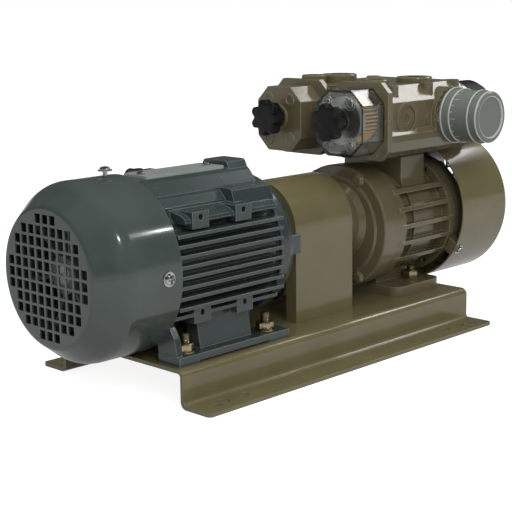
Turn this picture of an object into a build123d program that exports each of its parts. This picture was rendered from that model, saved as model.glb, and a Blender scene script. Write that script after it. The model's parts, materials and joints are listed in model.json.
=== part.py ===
"""Motor-driven dry rotary vane vacuum pump on a pressed base plate.

Frame: millimetres, +Z up, +X from the motor fan to the pump fan.
Origin: centre of the base plate's anchor holes, on the floor.
"""
import math
import os

from build123d import *

# ---------------------------------------------------------------- driving dimensions
BASE_L, BASE_H, SHEET = 372.0, 31.0, 3.2
WEB_HALF, FLANGE_HALF = 75.5, 105.0
SHAFT_Z = 104.0                     # motor and rotor axis
BORE_Z = 98.0                       # pump cylinder axis, 6 below the rotor
ANCHOR_Y = 89.0
ANCHOR_X = (155.0, 134.0)           # outer and inner anchor rows, from the centre
ANCHOR_D = 9.0

MOTOR_X0, MOTOR_X1 = -180.0, -58.0  # finned frame
CORE_R, CORE_IN = 57.0, 52.0
FIN_PITCH, FIN_T, FIN_Y = 8.2, 2.8, 66.0
FOOT_Y0, FOOT_Y1, FOOT_T = 42.0, 67.0, 7.0
PAD_X, PAD_Z, PAD_HALF = (-150.0, -103.0), (144.5, 68.5), 8.8
MOTOR_BOLT_X, MOTOR_BOLT_Y = (-165.5, -75.5), 56.0
M8_R, M8_AF, M8_NUT = 4.0, 13.0, 6.5
M4_R = 2.0

COVER_R, COVER_X0, COVER_X1 = 71.8, -253.5, -180.0
COVER_FLAT_R, COVER_CONE, COVER_WALL = 55.0, 22.0, 1.5
GRILLE_PITCH, GRILLE_HOLE = 9.1, 7.2
COVER_SCREW_X = -194.0

SHAFT_R, SHAFT_END_R = 7.5, 7.0
BEARING_R, BEARING_W = 17.5, 11.0
INNER_RING_R, OUTER_RING_IN = 10.4, 10.8

ROOF_X0, ROOF_STEP = -164.0, -103.0     # flat shoulder, and where its upper step begins
BOX_X0, BOX_X1, BOX_Y, BOX_Z0, BOX_Z1 = -176.0, -54.0, 15.5, 158.0, 171.0
LID_X0, LID_X1, LID_Y, LID_T = -164.5, -78.5, 14.5, 2.5
LID_SCREW_X = (-158.0, -86.0)
BOX_WALL = 3.0
GLAND_X, GLAND_Y, GLAND_Z = -129.0, 36.0, 164.5

JAW_HALF = 18.0                     # half angle of a coupling jaw

GUARD_X0, GUARD_X1, GUARD_Y, GUARD_TOP, GUARD_T = -21.0, 54.0, 42.0, 152.5, 1.5
GUARD_FOOT_Y, GUARD_SCREW_X = 35.0, (-10.0, 43.0)

PUMP_R = 58.3                       # front and rear covers, about BORE_Z
FRONT_X0, FRONT_X1 = 82.0, 99.0
CYL_X0, CYL_X1 = 99.0, 194.0
REAR_X1 = 206.0
BORE_R, ROTOR_GAP = 44.0, 0.3
ROTOR_R = BORE_R - (SHAFT_Z - BORE_Z) - ROTOR_GAP
VANE_T, VANE_H, SLOT_GAP = 5.0, 17.5, 0.1
VANE_ANGLES = (45.0, 135.0, 225.0, 315.0)
PUMP_FIN_PITCH, PUMP_FIN_T = 16.0, 4.0
PUMP_FOOT = (111.0, 180.0, 49.0, 9.0)     # x0, x1, half width, thickness
PUMP_BOLT_X, PUMP_BOLT_Y = (156.0,), 30.0
COVER_BOLTS, COVER_BOLT_R = (60.0, 120.0, 240.0, 300.0), 52.0

DRUM_X0, DRUM_X1, DRUM_R, DRUM_WALL = 184.0, 261.0, 71.3, 1.5
DRUM_SCREW_ANGLES = (91.0, 211.0, 331.0)
DRUM_SCREW_X = 191.0

NECK_X0, NECK_X1, NECK_Y, NECK_Z = 133.0, 168.0, 35.0, 161.0
GASKET_T = 2.0
MAN_X0, MAN_X1 = 78.0, 202.0        # manifold casting behind the filter flanges
CHANNEL_Y, CHANNEL_Z = 37.0, 202.0  # filter and regulator axes
DECK_Z, MAN_WALL_Y = 230.0, 62.0

CASE_X0, CASE_X1 = 42.0, 72.0
CASE_Y, CASE_Z, CASE_CUT, CASE_WALL = 27.0, 29.5, 13.0, 2.5
PLEATS, PLEAT_R, PLEAT_ROOT, PLEAT_IN = 36, 20.5, 17.5, 15.0
KNOB_X0, KNOB_T, KNOB_R, KNOB_LOBES = 21.5, 11.0, 16.6, 7

REG_X, REG_Z = 169.0, 200.0         # regulator axis, pointing to -Y
REG_Y = (-66.0, -70.0, -80.0, -99.0, -110.0)
PORTS = ((100.0, -30.0, 12.0, 235.5, 8.3), (158.0, -30.0, 17.0, 235.0, 10.2),
         (90.0, 36.0, 11.8, 238.0, 8.3), (119.0, 30.0, 17.0, 237.5, 10.2))

DECK_LUGS = ((97.0, -53.0, 5.0), (147.0, -53.0, 6.0), (193.0, -48.0, 7.0), (193.0, 48.0, 7.0),
             (100.0, 52.0, 5.0), (147.0, 53.0, 6.0))
COLLAR_Z, COLLAR_WALL = 218.0, 2.0  # foot of the threaded collars, and their wall in the deck

CLEAR = 0.3                         # room between parts that move past each other


# ---------------------------------------------------------------- shared shapes
def rod(x0, x1, r, y=0.0, z=SHAFT_Z):
    """Cylinder along X."""
    return Pos((x0 + x1) / 2, y, z) * Rot(0, 90, 0) * Cylinder(r, x1 - x0)


def rod_y(y0, y1, r, x, z):
    """Cylinder along Y."""
    return Pos(x, (y0 + y1) / 2, z) * Rot(90, 0, 0) * Cylinder(r, abs(y1 - y0))


def post(z0, z1, r, x, y):
    """Cylinder along Z."""
    return Pos(x, y, (z0 + z1) / 2) * Cylinder(r, z1 - z0)


def block(x0, x1, y0, y1, z0, z1):
    return Pos((x0 + x1) / 2, (y0 + y1) / 2, (z0 + z1) / 2) * Box(x1 - x0, y1 - y0, z1 - z0)


def turned(points, z=SHAFT_Z, y=0.0, rounds=()):
    """Solid of revolution about an X axis, from an (x, radius) outline with some corners rounded."""
    profile = make_face(Polyline(*points, close=True))
    for corner, radius in rounds:
        profile = fillet(profile.vertices().sort_by_distance((*corner, 0))[0], radius)
    return Pos(0, y, z) * revolve(Plane.XZ * profile, Axis.X)


def extrude_x(points, x0, x1):
    """Prism along X, from a (y, z) outline."""
    return Pos(x0, 0, 0) * extrude(Plane.YZ * make_face(Polyline(*points, close=True)), x1 - x0)


def union(items):
    out = items[0]
    for item in items[1:]:
        out = out + item
    return out


def both_sides(shape):
    return shape + mirror(shape, Plane.XZ)


def hexagon(af, length):
    return extrude(RegularPolygon(af / 2, 6, major_radius=False), length)


def around(shape, angles, z=SHAFT_Z):
    """Copies of a shape turned about the X axis at height z."""
    return [Pos(0, 0, z) * Rot(a, 0, 0) * Pos(0, 0, -z) * shape for a in angles]


def grille(x0, x1, z):
    """Square punched holes on a square grid inside a circle."""
    cells = [(i, j) for i in range(-5, 6) for j in range(-5, 6) if i * i + j * j <= 27]
    return [Pos((x0 + x1) / 2, i * GRILLE_PITCH, z + j * GRILLE_PITCH)
            * Box(x1 - x0 + 2, GRILLE_HOLE, GRILLE_HOLE) for i, j in cells]


def octagon(cy, cz, half_y, half_z, cut):
    """(y, z) outline of a rectangle with its corners cut."""
    pts = [(-half_y, -half_z + cut), (-half_y + cut, -half_z), (half_y - cut, -half_z),
           (half_y, -half_z + cut), (half_y, half_z - cut), (half_y - cut, half_z),
           (-half_y + cut, half_z), (-half_y, half_z - cut)]
    return [(cy + y, cz + z) for y, z in pts]


def bolt_up(x, y, z_seat, z_under, r=M8_R, af=M8_AF, nut=M8_NUT, stick=8.0):
    """Bolt with its head under the base, and a washer and nut on top."""
    head = Pos(x, y, z_under - nut) * hexagon(af, nut)
    shank = post(z_under - nut, z_seat + 1.6 + nut + stick, r, x, y)
    top = Pos(x, y, z_seat + 1.6) * hexagon(af, nut)
    washer = post(z_seat, z_seat + 1.6, r * 2.1, x, y)
    return head + shank + top + washer


def side_screw(x, angle, r_seat, z=SHAFT_Z, head_r=5.0):
    """Pan-head screw pointing at the axis, with a washer under its head."""
    one = post(z + r_seat - 9, z + r_seat, M4_R, x, 0)
    one += post(z + r_seat, z + r_seat + 0.8, head_r + 1, x, 0)
    one += post(z + r_seat + 0.8, z + r_seat + 3.6, head_r - 0.6, x, 0)
    return around(one, [angle], z)[0]


parts = {}


# ---------------------------------------------------------------- base plate
def base_plate():
    lip_in = WEB_HALF - SHEET
    outline = [(-FLANGE_HALF, 0), (-lip_in, 0), (-lip_in, BASE_H - SHEET), (lip_in, BASE_H - SHEET),
               (lip_in, 0), (FLANGE_HALF, 0), (FLANGE_HALF, SHEET), (WEB_HALF, SHEET),
               (WEB_HALF, BASE_H), (-WEB_HALF, BASE_H), (-WEB_HALF, SHEET), (-FLANGE_HALF, SHEET)]
    plate = extrude_x(outline, -BASE_L / 2, BASE_L / 2)
    along = plate.edges().filter_by(Axis.X)
    outer = [e for e in along if abs(abs(e.center().Y) - WEB_HALF) < 0.1 and e.center().Z > BASE_H - 0.1]
    inner = [e for e in along if abs(abs(e.center().Y) - lip_in) < 0.1 and e.center().Z > 20]
    toe = [e for e in along if abs(abs(e.center().Y) - lip_in) < 0.1 and e.center().Z < 0.1]
    root = [e for e in along if abs(abs(e.center().Y) - WEB_HALF) < 0.1 and abs(e.center().Z - SHEET) < 0.1]
    plate = fillet(outer, 6.0)
    for group, r in ((inner, 6.0 - SHEET), (root, 2.8), (toe, 6.0)):
        plate = fillet([plate.edges().sort_by_distance(e.center())[0] for e in group], r)
    corners = [e for e in plate.edges().filter_by(Axis.Z)
               if abs(abs(e.center().Y) - FLANGE_HALF) < 0.1]
    plate = fillet(corners, 4.0)
    holes = [post(-1, SHEET + 1, ANCHOR_D / 2, sx * x, sy * ANCHOR_Y)
             for x in ANCHOR_X for sx in (-1, 1) for sy in (-1, 1)]
    slots = [post(-1, SHEET + 1, 3.0, sx * 168 + dx, sy * 93) for sx in (-1, 1) for sy in (-1, 1)
             for dx in (-3, 3)]
    slots += [block(sx * 168 - 3, sx * 168 + 3, sy * 93 - 3, sy * 93 + 3, -1, SHEET + 1)
              for sx in (-1, 1) for sy in (-1, 1)]
    holes += [post(BASE_H - SHEET - 1, BASE_H + 1, M8_R + 0.5, x, sy * MOTOR_BOLT_Y)
              for x in MOTOR_BOLT_X for sy in (-1, 1)]
    holes += [post(BASE_H - SHEET - 1, BASE_H + 1, M8_R + 0.5, x, sy * PUMP_BOLT_Y)
              for x in PUMP_BOLT_X for sy in (-1, 1)]
    holes += [post(BASE_H - SHEET - 1, BASE_H + 1, 2.6, x, sy * GUARD_FOOT_Y)
              for x in GUARD_SCREW_X for sy in (-1, 1)]
    return plate - holes - slots


# ---------------------------------------------------------------- motor
def motor_frame():
    x0, x1 = MOTOR_X0, MOTOR_X1
    body = rod(x0, x1, CORE_R)
    for k in range(8):
        z = SHAFT_Z + (k - 3.5) * FIN_PITCH
        body += block(x0 + 2, x1 - 4, -FIN_Y, FIN_Y, z - FIN_T / 2, z + FIN_T / 2)
    body += block(x0, x1 - 6, -60, 60, SHAFT_Z - 36.5 - FIN_T / 2, SHAFT_Z - 36.5 + FIN_T / 2)
    # tapped pads for feet on another side
    for x in PAD_X:
        for z0, z1 in ((PAD_Z[0] - 9, PAD_Z[0] + 4.5), (PAD_Z[1] - 8, PAD_Z[1] + 7)):
            body += both_sides(block(x - PAD_HALF, x + PAD_HALF, -61, -30, z0, z1))
    for y in (-24.0, -12.0, 0.0, 12.0, 24.0):
        body += block(x0 + 2, x1 - 4, y - FIN_T / 2, y + FIN_T / 2, SHAFT_Z - 64, SHAFT_Z)
    # shoulders beside the terminal box, a flat roof over the top fin, and the higher step at the drive end
    body += both_sides(extrude_x([(0, 130), (-44, 130), (-40, 151), (-34, 157), (-29, BOX_Z0), (0, BOX_Z0)],
                                 BOX_X0, x1))
    roof = [(-40, 139.5), (-58, 139.5), (-59, 141), (-58, 143.5), (-54, 146), (-40, 149)]
    step = [(-29, 146), (-51, 146), (-47.5, 158), (-45, 160), (-29, 159.5)]
    body += both_sides(extrude_x(roof, ROOF_X0, x1 - 4) + extrude_x(step, ROOF_STEP, x1))
    # feet: two rails, the webs between the bolt pockets, and the end gussets
    foot = block(x0 - 1, x1 + 1, -FOOT_Y1, -FOOT_Y0, BASE_H, BASE_H + FOOT_T)
    foot += extrude_x([(-57, BASE_H + 3), (-FOOT_Y0, BASE_H + 3), (-38, 76), (-50, 76)], -149, -92)
    foot += extrude_x([(-64, BASE_H + 3), (-FOOT_Y0, BASE_H + 3), (-36, 70), (-48, 70), (-60, 52)],
                      x0, x0 + 6)
    body += both_sides(foot)
    body -= block(-160, -80, -FOOT_Y1 - 1, FOOT_Y1 + 1, BASE_H - 1, BASE_H + 1.5)
    body -= rod(x0 - 1, x1 + 1, CORE_IN)
    body -= [rod_y(sy * 62, sy * 52, 2.5, x, z) for x in PAD_X for z in PAD_Z for sy in (-1, 1)]
    body -= [post(BASE_H - 1, BASE_H + FOOT_T + 1, M8_R + 0.5, x, sy * MOTOR_BOLT_Y)
             for x in MOTOR_BOLT_X for sy in (-1, 1)]
    body -= post(140, 163, 7.0, -137, 0)          # lead hole up into the terminal box
    return body


def motor_fan_cover():
    r, t, flat = COVER_R, COVER_WALL, COVER_FLAT_R
    xf, xc = COVER_X0, COVER_X0 + COVER_CONE
    edge, inner_edge = (xf, flat), (xf + t, flat - 0.73)
    shoulder, inner_shoulder = (xc, r), (xc + 0.52, r - t)
    outline = [(xf, 0), edge, shoulder, (COVER_X1, r), (COVER_X1, r - t), inner_shoulder, inner_edge,
               (xf + t, 0)]
    shell = turned(outline, rounds=((edge, 5.0), (inner_edge, 3.5), (shoulder, 24.0),
                                    (inner_shoulder, 22.5)))
    shell -= grille(xf, xf + t, SHAFT_Z)
    return shell - around(post(150, 180, 2.3, COVER_SCREW_X, 0), (0, 90, 180, 270))


def rear_bracket():
    rim = COVER_R - COVER_WALL - 0.1
    x = MOTOR_X0
    outline = [(x - 20, rim - 4), (x - 20, rim), (x, rim), (x, CORE_IN), (x + 4, CORE_IN), (x + 4, 24),
               (x + 12, 24), (x + 12, BEARING_R), (x, BEARING_R), (x, SHAFT_R + 0.7),
               (x - 8, SHAFT_R + 0.7), (x - 8, 30), (x - 7, rim - 4)]
    return turned(outline) - around(post(150, 180, M4_R, COVER_SCREW_X, 0), (0, 90, 180, 270))


def drive_bracket():
    x = MOTOR_X1
    outline = [(x - 4, CORE_IN), (x, CORE_IN), (x, 61), (x + 10, 61), (x + 16, 58.5), (x + 20, 54),
               (x + 21, 49), (x + 21, 27), (x + 25, 25), (x + 25, SHAFT_R + 0.7), (x + 13, SHAFT_R + 0.7),
               (x + 13, BEARING_R), (x + 2, BEARING_R), (x - 4, BEARING_R + 5)]
    body = turned(outline)
    rib = block(x + 8, x + 24, -2, 2, SHAFT_Z + 20, SHAFT_Z + 52)
    lug = block(x + 6, x + 25, -6, 10, SHAFT_Z + 42, SHAFT_Z + 59)
    body += around(rib, (45, 135, 225, 315)) + around(lug, (90, 270))
    return body


def bearing(x, z=SHAFT_Z):
    outer = rod(x, x + BEARING_W, BEARING_R, z=z) - rod(x - 1, x + BEARING_W + 1, OUTER_RING_IN, z=z)
    inner = rod(x, x + BEARING_W, INNER_RING_R, z=z) - rod(x - 1, x + BEARING_W + 1, SHAFT_R, z=z)
    return outer, inner


def motor_fan():
    hub = turned([(-238, SHAFT_R), (-238, 15), (-206, 17), (-206, 60), (-204, 60), (-204, SHAFT_R)])
    blade = block(-232, -205, -1.2, 1.2, SHAFT_Z + 14, SHAFT_Z + 59)
    return hub + around(blade, [k * 360 / 7 for k in range(7)])


def motor_shaft():
    return turned([(-238, 0), (-238, SHAFT_R), (-38, SHAFT_R), (-36, SHAFT_END_R), (-11, SHAFT_END_R),
                   (-11, 0)])


def ring(x0, x1, r0, r1):
    return rod(x0, x1, r1) - rod(x0 - 1, x1 + 1, r0)


def terminal_box():
    """Low trough on the frame, with a raised drive end and a boss for the cable gland."""
    body = both_sides(extrude_x([(0, BOX_Z0), (-28, BOX_Z0), (-19.5, 168.5), (-BOX_Y - 2.5, 169.5),
                                 (-BOX_Y, BOX_Z1), (0, BOX_Z1)], BOX_X0, BOX_X1))
    raised = [(0, BOX_Z1 - 2), (-17.5, BOX_Z1 - 2), (-14, BOX_Z1 + 5), (-12, BOX_Z1 + 6), (0, BOX_Z1 + 6)]
    body += both_sides(extrude_x(raised, LID_X1 + 3, BOX_X1))
    body -= rod(MOTOR_X1, BOX_X1 + 1, 61.3)
    body += block(GLAND_X - 12, GLAND_X + 12, 8, GLAND_Y, BOX_Z0, BOX_Z1)
    t = BOX_WALL
    inside = block(LID_X0 + t, LID_X1 - t, -LID_Y + 2, LID_Y - 2, BOX_Z0, BOX_Z1 + 1)
    body -= inside - rod(BOX_X0, BOX_X1, CORE_R + t)
    body -= rod(BOX_X0 - 1, BOX_X1 + 1, CORE_R)
    body -= post(SHAFT_Z + CORE_R - 1, SHAFT_Z + CORE_R + t + 1, 7.0, -137, 0)
    body -= rod_y(LID_Y - 3, GLAND_Y + 1, 5.0, GLAND_X, GLAND_Z)
    for x in LID_SCREW_X:
        body += post(SHAFT_Z + CORE_R + 1, BOX_Z1, 4.0, x, 0)
        body -= post(BOX_Z1 - 7, BOX_Z1 + 1, 1.6, x, 0)
    return body


def terminal_lid():
    lid = block(LID_X0, LID_X1, -LID_Y, LID_Y, BOX_Z1, BOX_Z1 + LID_T)
    lid = fillet(lid.edges().filter_by(Axis.Z), 2.0)
    return lid - [post(BOX_Z1 - 1, BOX_Z1 + LID_T + 1, 2.2, x, 0) for x in LID_SCREW_X]


def lid_screw(x):
    top = BOX_Z1 + LID_T
    return post(BOX_Z1 - 7, top, 1.6, x, 0) + post(top, top + 2.4, 3.6, x, 0)


def cable_gland():
    x, z, y = GLAND_X, GLAND_Z, GLAND_Y
    body = rod_y(y - 6, y, 5.0, x, z) + rod_y(y, y + 12, 6.6, x, z)
    body += Pos(x, y, z) * Rot(-90, 0, 0) * hexagon(14, 5)
    return body - rod_y(y - 7, y + 13, 3.2, x, z)


# ---------------------------------------------------------------- coupling and guard
def sector(x0, x1, half_angle):
    """Wedge about the shaft, opening upwards."""
    y, z = (60 * f(math.radians(half_angle)) for f in (math.sin, math.cos))
    return extrude_x([(0, SHAFT_Z), (-y, SHAFT_Z + z), (y, SHAFT_Z + z)], x0, x1)


def coupling_hub(x0, x1, jaw_x0, jaw_x1, first):
    body = turned([(x0, SHAFT_END_R), (x0, 21), (x1, 21), (x1, SHAFT_END_R)])
    jaw = ring(jaw_x0, jaw_x1, 9.0, 21) & sector(jaw_x0, jaw_x1, JAW_HALF)
    return body + around(jaw, [first + k * 120 for k in range(3)])


def spider():
    body = ring(-9.5, 1.5, 3.5, 9.0)
    arm = ring(-9.5, 1.5, 8.5, 20.5) & sector(-9.5, 1.5, 30 - JAW_HALF)
    return body + around(arm, [30 + k * 60 for k in range(6)])


def coupling_guard():
    mid = GUARD_TOP - GUARD_Y
    y, t = GUARD_Y, GUARD_T

    def arch(half, x0, x1, floor):
        return rod(x0, x1, half, z=mid) + block(x0, x1, -half, half, floor, mid)

    shell = arch(y, GUARD_X0, GUARD_X1, BASE_H)
    shell -= arch(y - t, GUARD_X0 + t, GUARD_X1 + 1, BASE_H - 1)
    shell -= arch(y - 12, GUARD_X0 - 1, GUARD_X0 + 3, BASE_H - 1)
    shell += both_sides(block(GUARD_X0 + 3, GUARD_X1 - 3, -y + t / 2, -28, BASE_H, BASE_H + t))
    return shell - [post(BASE_H - 1, BASE_H + 3, 2.6, x, sy * GUARD_FOOT_Y)
                    for x in GUARD_SCREW_X for sy in (-1, 1)]


def guard_screws():
    out = None
    for x in GUARD_SCREW_X:
        for sy in (-1, 1):
            one = post(BASE_H - SHEET - 3, BASE_H - SHEET, 4.6, x, sy * GUARD_FOOT_Y)
            one += post(BASE_H - SHEET - 1, BASE_H + 6, 2.5, x, sy * GUARD_FOOT_Y)
            one += Pos(x, sy * GUARD_FOOT_Y, BASE_H + GUARD_T) * hexagon(8, 4)
            out = one if out is None else out + one
    return out


# ---------------------------------------------------------------- pump
def cover_bolt_places():
    angles = [math.radians(a) for a in COVER_BOLTS]
    return [(math.cos(a) * COVER_BOLT_R, BORE_Z + math.sin(a) * COVER_BOLT_R) for a in angles]


def front_cover():
    x = FRONT_X0
    body = turned([(x - 1.5, 0), (x - 1.5, 46), (x, 47.5), (x, PUMP_R - 1.2), (x + 1.2, PUMP_R),
                   (FRONT_X1, PUMP_R), (FRONT_X1, 0)], z=BORE_Z)
    body += turned([(x - 25, 0), (x - 25, 29), (x - 22, 32), (x - 6, 32), (x + 1, 38), (x + 1, 0)])
    body -= rod(x - 26, FRONT_X1 + 1, SHAFT_R + 0.7)
    body -= rod(x - 26, x - 26 + 12 + 1, BEARING_R)
    return body - [rod(x - 1, FRONT_X1 + 1, 3.2, y=y, z=z) for y, z in cover_bolt_places()]


def pump_cylinder():
    body = rod(CYL_X0, CYL_X0 + 15, PUMP_R - 1, z=BORE_Z) + rod(CYL_X1 - 12, CYL_X1, PUMP_R - 1, z=BORE_Z)
    body += rod(CYL_X0, CYL_X1, BORE_R + 4, z=BORE_Z)
    body += rod(133, 163, BORE_R + 8, z=BORE_Z)
    envelope = rod(CYL_X0, CYL_X1, PUMP_R - 0.3, z=BORE_Z)
    for k in range(-2, 3):
        z = BORE_Z + 1.5 + k * PUMP_FIN_PITCH
        fin = block(CYL_X0 + 8, CYL_X1 - 6, -PUMP_R, PUMP_R, z - PUMP_FIN_T / 2, z + PUMP_FIN_T / 2)
        body += fin & envelope
    # foot
    fx0, fx1, fy, ft = PUMP_FOOT
    foot = block(fx0, fx1, -fy, fy, BASE_H, BASE_H + ft)
    foot = fillet(foot.edges().filter_by(Axis.Z), 10.0)
    foot += extrude_x([(-19, BASE_H + 4), (19, BASE_H + 4), (21, 66), (-21, 66)], fx0 + 6, fx1 - 6)
    body += foot
    # neck to the manifold
    body += extrude_x([(-42, 118), (42, 118), (NECK_Y, 140), (NECK_Y, NECK_Z), (-NECK_Y, NECK_Z),
                       (-NECK_Y, 140)], NECK_X0, NECK_X1)
    body -= rod(CYL_X0 - 1, CYL_X1 + 1, BORE_R, z=BORE_Z)
    body -= [post(115, NECK_Z + 1, 8.0, (NECK_X0 + NECK_X1) / 2, sy * 19) for sy in (-1, 1)]
    body -= [post(BASE_H - 1, BASE_H + ft + 1, M8_R + 0.5, x, sy * PUMP_BOLT_Y)
             for x in PUMP_BOLT_X for sy in (-1, 1)]
    for y, z in cover_bolt_places():
        body -= rod(CYL_X0 - 1, CYL_X0 + 12, 2.5, y=y, z=z)
        body -= rod(CYL_X1 - 12, CYL_X1 + 1, 2.5, y=y, z=z)
    return body


def drum_screw_turns():
    return [a - 90 for a in DRUM_SCREW_ANGLES]


def rear_cover():
    x = CYL_X1
    body = rod(x, REAR_X1, PUMP_R - 1, z=BORE_Z)
    body += turned([(x, 0), (x, 30), (REAR_X1 + 8, 26), (REAR_X1 + 8, 0)])
    reach = DRUM_R - DRUM_WALL - 0.1
    arm = block(x - 10, x + 2, -7, 7, SHAFT_Z + 30, SHAFT_Z + reach - 0.6)
    body += [a - rod(x - 11, x, PUMP_R + 0.3, z=BORE_Z) for a in around(arm, drum_screw_turns())]
    body -= rod(x - 1, REAR_X1 + 9, SHAFT_R + 0.7)
    body -= rod(REAR_X1 - 3, REAR_X1 + 9, BEARING_R)
    body -= around(post(SHAFT_Z + 58, SHAFT_Z + 75, M4_R, DRUM_SCREW_X, 0), drum_screw_turns())
    return body - [rod(x - 1, REAR_X1 + 1, 3.2, y=y, z=z) for y, z in cover_bolt_places()]


def rotor_slot(angle):
    slot = block(CYL_X0, CYL_X1, -VANE_T / 2 - SLOT_GAP, VANE_T / 2 + SLOT_GAP,
                 SHAFT_Z + ROTOR_R - 0.3 - VANE_H - 0.2, SHAFT_Z + ROTOR_R + 5)
    return around(slot, [angle - 90])[0]


def pump_rotor():
    body = rod(CYL_X0 + CLEAR, CYL_X1 - CLEAR, ROTOR_R)
    for a in VANE_ANGLES:
        body -= rotor_slot(a)
    shaft = turned([(3, 0), (3, SHAFT_END_R), (52, SHAFT_END_R), (54, SHAFT_R), (250, SHAFT_R), (250, 0)])
    return body + shaft


def vane(angle):
    top = SHAFT_Z + ROTOR_R - 0.3
    one = block(CYL_X0 + 2 * CLEAR, CYL_X1 - 2 * CLEAR, -VANE_T / 2, VANE_T / 2, top - VANE_H, top)
    return around(one, [angle - 90])[0]


def pump_fan():
    hub = turned([(222, SHAFT_R), (222, 30), (224, 30), (225, 16), (250, 14), (250, SHAFT_R)])
    blade = block(223, 248, -1.2, 1.2, SHAFT_Z + 13, SHAFT_Z + 57)
    return hub + around(blade, [k * 45 for k in range(8)])


def pump_fan_cover():
    r, t, x0, x1 = DRUM_R, DRUM_WALL, DRUM_X0, DRUM_X1
    outline = [(x0, r - t), (x0, r), (x1 - 6, r), (x1 - 2, r - 2), (x1, r - 6), (x1, 0),
               (x1 - t, 0), (x1 - t, r - 6.6), (x1 - 3, r - 3.4), (x1 - 6.6, r - t)]
    shell = turned(outline) - grille(x1 - t, x1, SHAFT_Z)
    return shell - around(post(SHAFT_Z + 60, SHAFT_Z + 75, 2.3, DRUM_SCREW_X, 0), drum_screw_turns())


def cover_bolts(x_face, out):
    """Four hex bolts holding a pump cover; out is -1 towards the motor, +1 towards the fan."""
    group = None
    for y, z in cover_bolt_places():
        tip = x_face - out * 24
        one = rod(min(tip, x_face), max(tip, x_face), 2.5, y=y, z=z)
        head = Pos(x_face, y, z) * Rot(0, 90 * out, 0) * hexagon(9, 4)
        one += head
        group = one if group is None else group + one
    return group


# ---------------------------------------------------------------- manifold
def manifold():
    """One casting: two parallel gas channels, the filter flanges, the deck and the neck flange."""
    w, (near, far) = MAN_WALL_Y, (-CHANNEL_Y, CHANNEL_Y)
    half = [(48, DECK_Z), (w, 216), (w, 191), (w + 4, 187), (w + 5, 181), (w + 1, 172), (w - 8, 166)]
    body = extrude_x(half + [(-y, z) for y, z in reversed(half)], MAN_X0 - 1, MAN_X1)
    for sy in (-1, 1):
        body += extrude_x(octagon(sy * 36.5, 200, 31.5, 35, 9), CASE_X1, MAN_X0)
    # lugs with the deck screws, side plug port, regulator boss
    for x, y, r in DECK_LUGS:
        body += post(DECK_Z - 16, DECK_Z + 1, r, x, y)
    body += rod_y(-w - 1.5, -w + 8, 15.0, 106, 201)
    body -= rod_y(-w - 2, -w + 3, 11.5, 106, 201)
    body += rod_y(REG_Y[0], -40, 26.0, REG_X, REG_Z)
    body += block(NECK_X0, NECK_X1, -NECK_Y, NECK_Y, NECK_Z + GASKET_T, 167)
    # arch over the fan drum, and the flat under the regulator
    body -= rod(DRUM_X0 - 4, MAN_X1 + 1, DRUM_R + 5)
    body -= rod_y(REG_Y[0], REG_Y[0] - 4, 27.0, REG_X, REG_Z)
    # channels with a webbed nut for each filter stud, and the passages into them
    for y in (near, far):
        body -= rod(CASE_X1 - 1, MAN_X1 - 14, 13.0, y=y, z=CHANNEL_Z)
        nut = rod(CASE_X1 + 6, CASE_X1 + 10, 14.0, y=y, z=CHANNEL_Z)
        nut -= rod(CASE_X1 + 5, CASE_X1 + 11, 2.6, y=y, z=CHANNEL_Z)
        body += nut - [rod(CASE_X1 + 5, CASE_X1 + 11, 3.0, y=y + a * 8, z=CHANNEL_Z + b * 8)
                       for a, b in ((-1, 0), (1, 0), (0, -1), (0, 1))]
    body -= rod_y(REG_Y[0] - 1, near, 9.0, REG_X, REG_Z)
    body -= rod(MAN_X1 - 16, MAN_X1 + 1, 9.0, y=near, z=CHANNEL_Z)
    for x, y, r, top, hole in PORTS:
        body -= post(COLLAR_Z, DECK_Z + 1, hole + COLLAR_WALL, x, y)
        body -= post(CHANNEL_Z, COLLAR_Z, hole - 0.8, x, y)
    return body - [post(NECK_Z, CHANNEL_Z, 8.0, (NECK_X0 + NECK_X1) / 2, sy * 19) for sy in (-1, 1)]


def port_collar(x, y, r, top, hole):
    """Raised threaded collar on the manifold deck."""
    body = post(DECK_Z, top, r, x, y)
    body = chamfer(body.edges().filter_by(GeomType.CIRCLE).sort_by(Axis.Z)[-1], 1.0)
    body += post(COLLAR_Z, DECK_Z, hole + COLLAR_WALL, x, y)
    return body - post(COLLAR_Z - 1, top + 1, hole, x, y)


def neck_gasket():
    body = block(NECK_X0 - 0.5, NECK_X1 + 0.5, -NECK_Y - 0.5, NECK_Y + 0.5, NECK_Z, NECK_Z + GASKET_T)
    return body - [post(NECK_Z - 1, NECK_Z + 4, 8.5, (NECK_X0 + NECK_X1) / 2, sy * 19) for sy in (-1, 1)]


def side_plug():
    w = MAN_WALL_Y
    body = rod_y(-w, -w + 3, 11.4, 106, 201)
    return body - Pos(106, -w - 0.1, 201) * Rot(-90, 0, 0) * hexagon(8, 2)


def filter_case(sy):
    y, z = sy * 36.5, 200.0
    body = extrude_x(octagon(y, z, CASE_Y, CASE_Z, CASE_CUT), CASE_X0, CASE_X1)
    body -= extrude_x(octagon(y, z, CASE_Y - CASE_WALL, CASE_Z - CASE_WALL, CASE_CUT - 1.5),
                      CASE_X0 + CASE_WALL, CASE_X1 + 1)
    body += rod(CASE_X0 - 1.5, CASE_X0 + 1, 11.0, y=sy * CHANNEL_Y, z=CHANNEL_Z)
    for a, b in ((-1, 1), (1, 1), (-1, -1), (1, -1)):
        body += rod(CASE_X0 - 0.8, CASE_X0 + 1, 6.0, y=y + a * 13, z=z + b * 18)
        body -= rod(CASE_X0 - 1, CASE_X0 - 0.2, 3.5, y=y + a * 13, z=z + b * 18)
    return body - rod(CASE_X0 - 3, CASE_X0 + 4, 3.3, y=sy * CHANNEL_Y, z=CHANNEL_Z)


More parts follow.
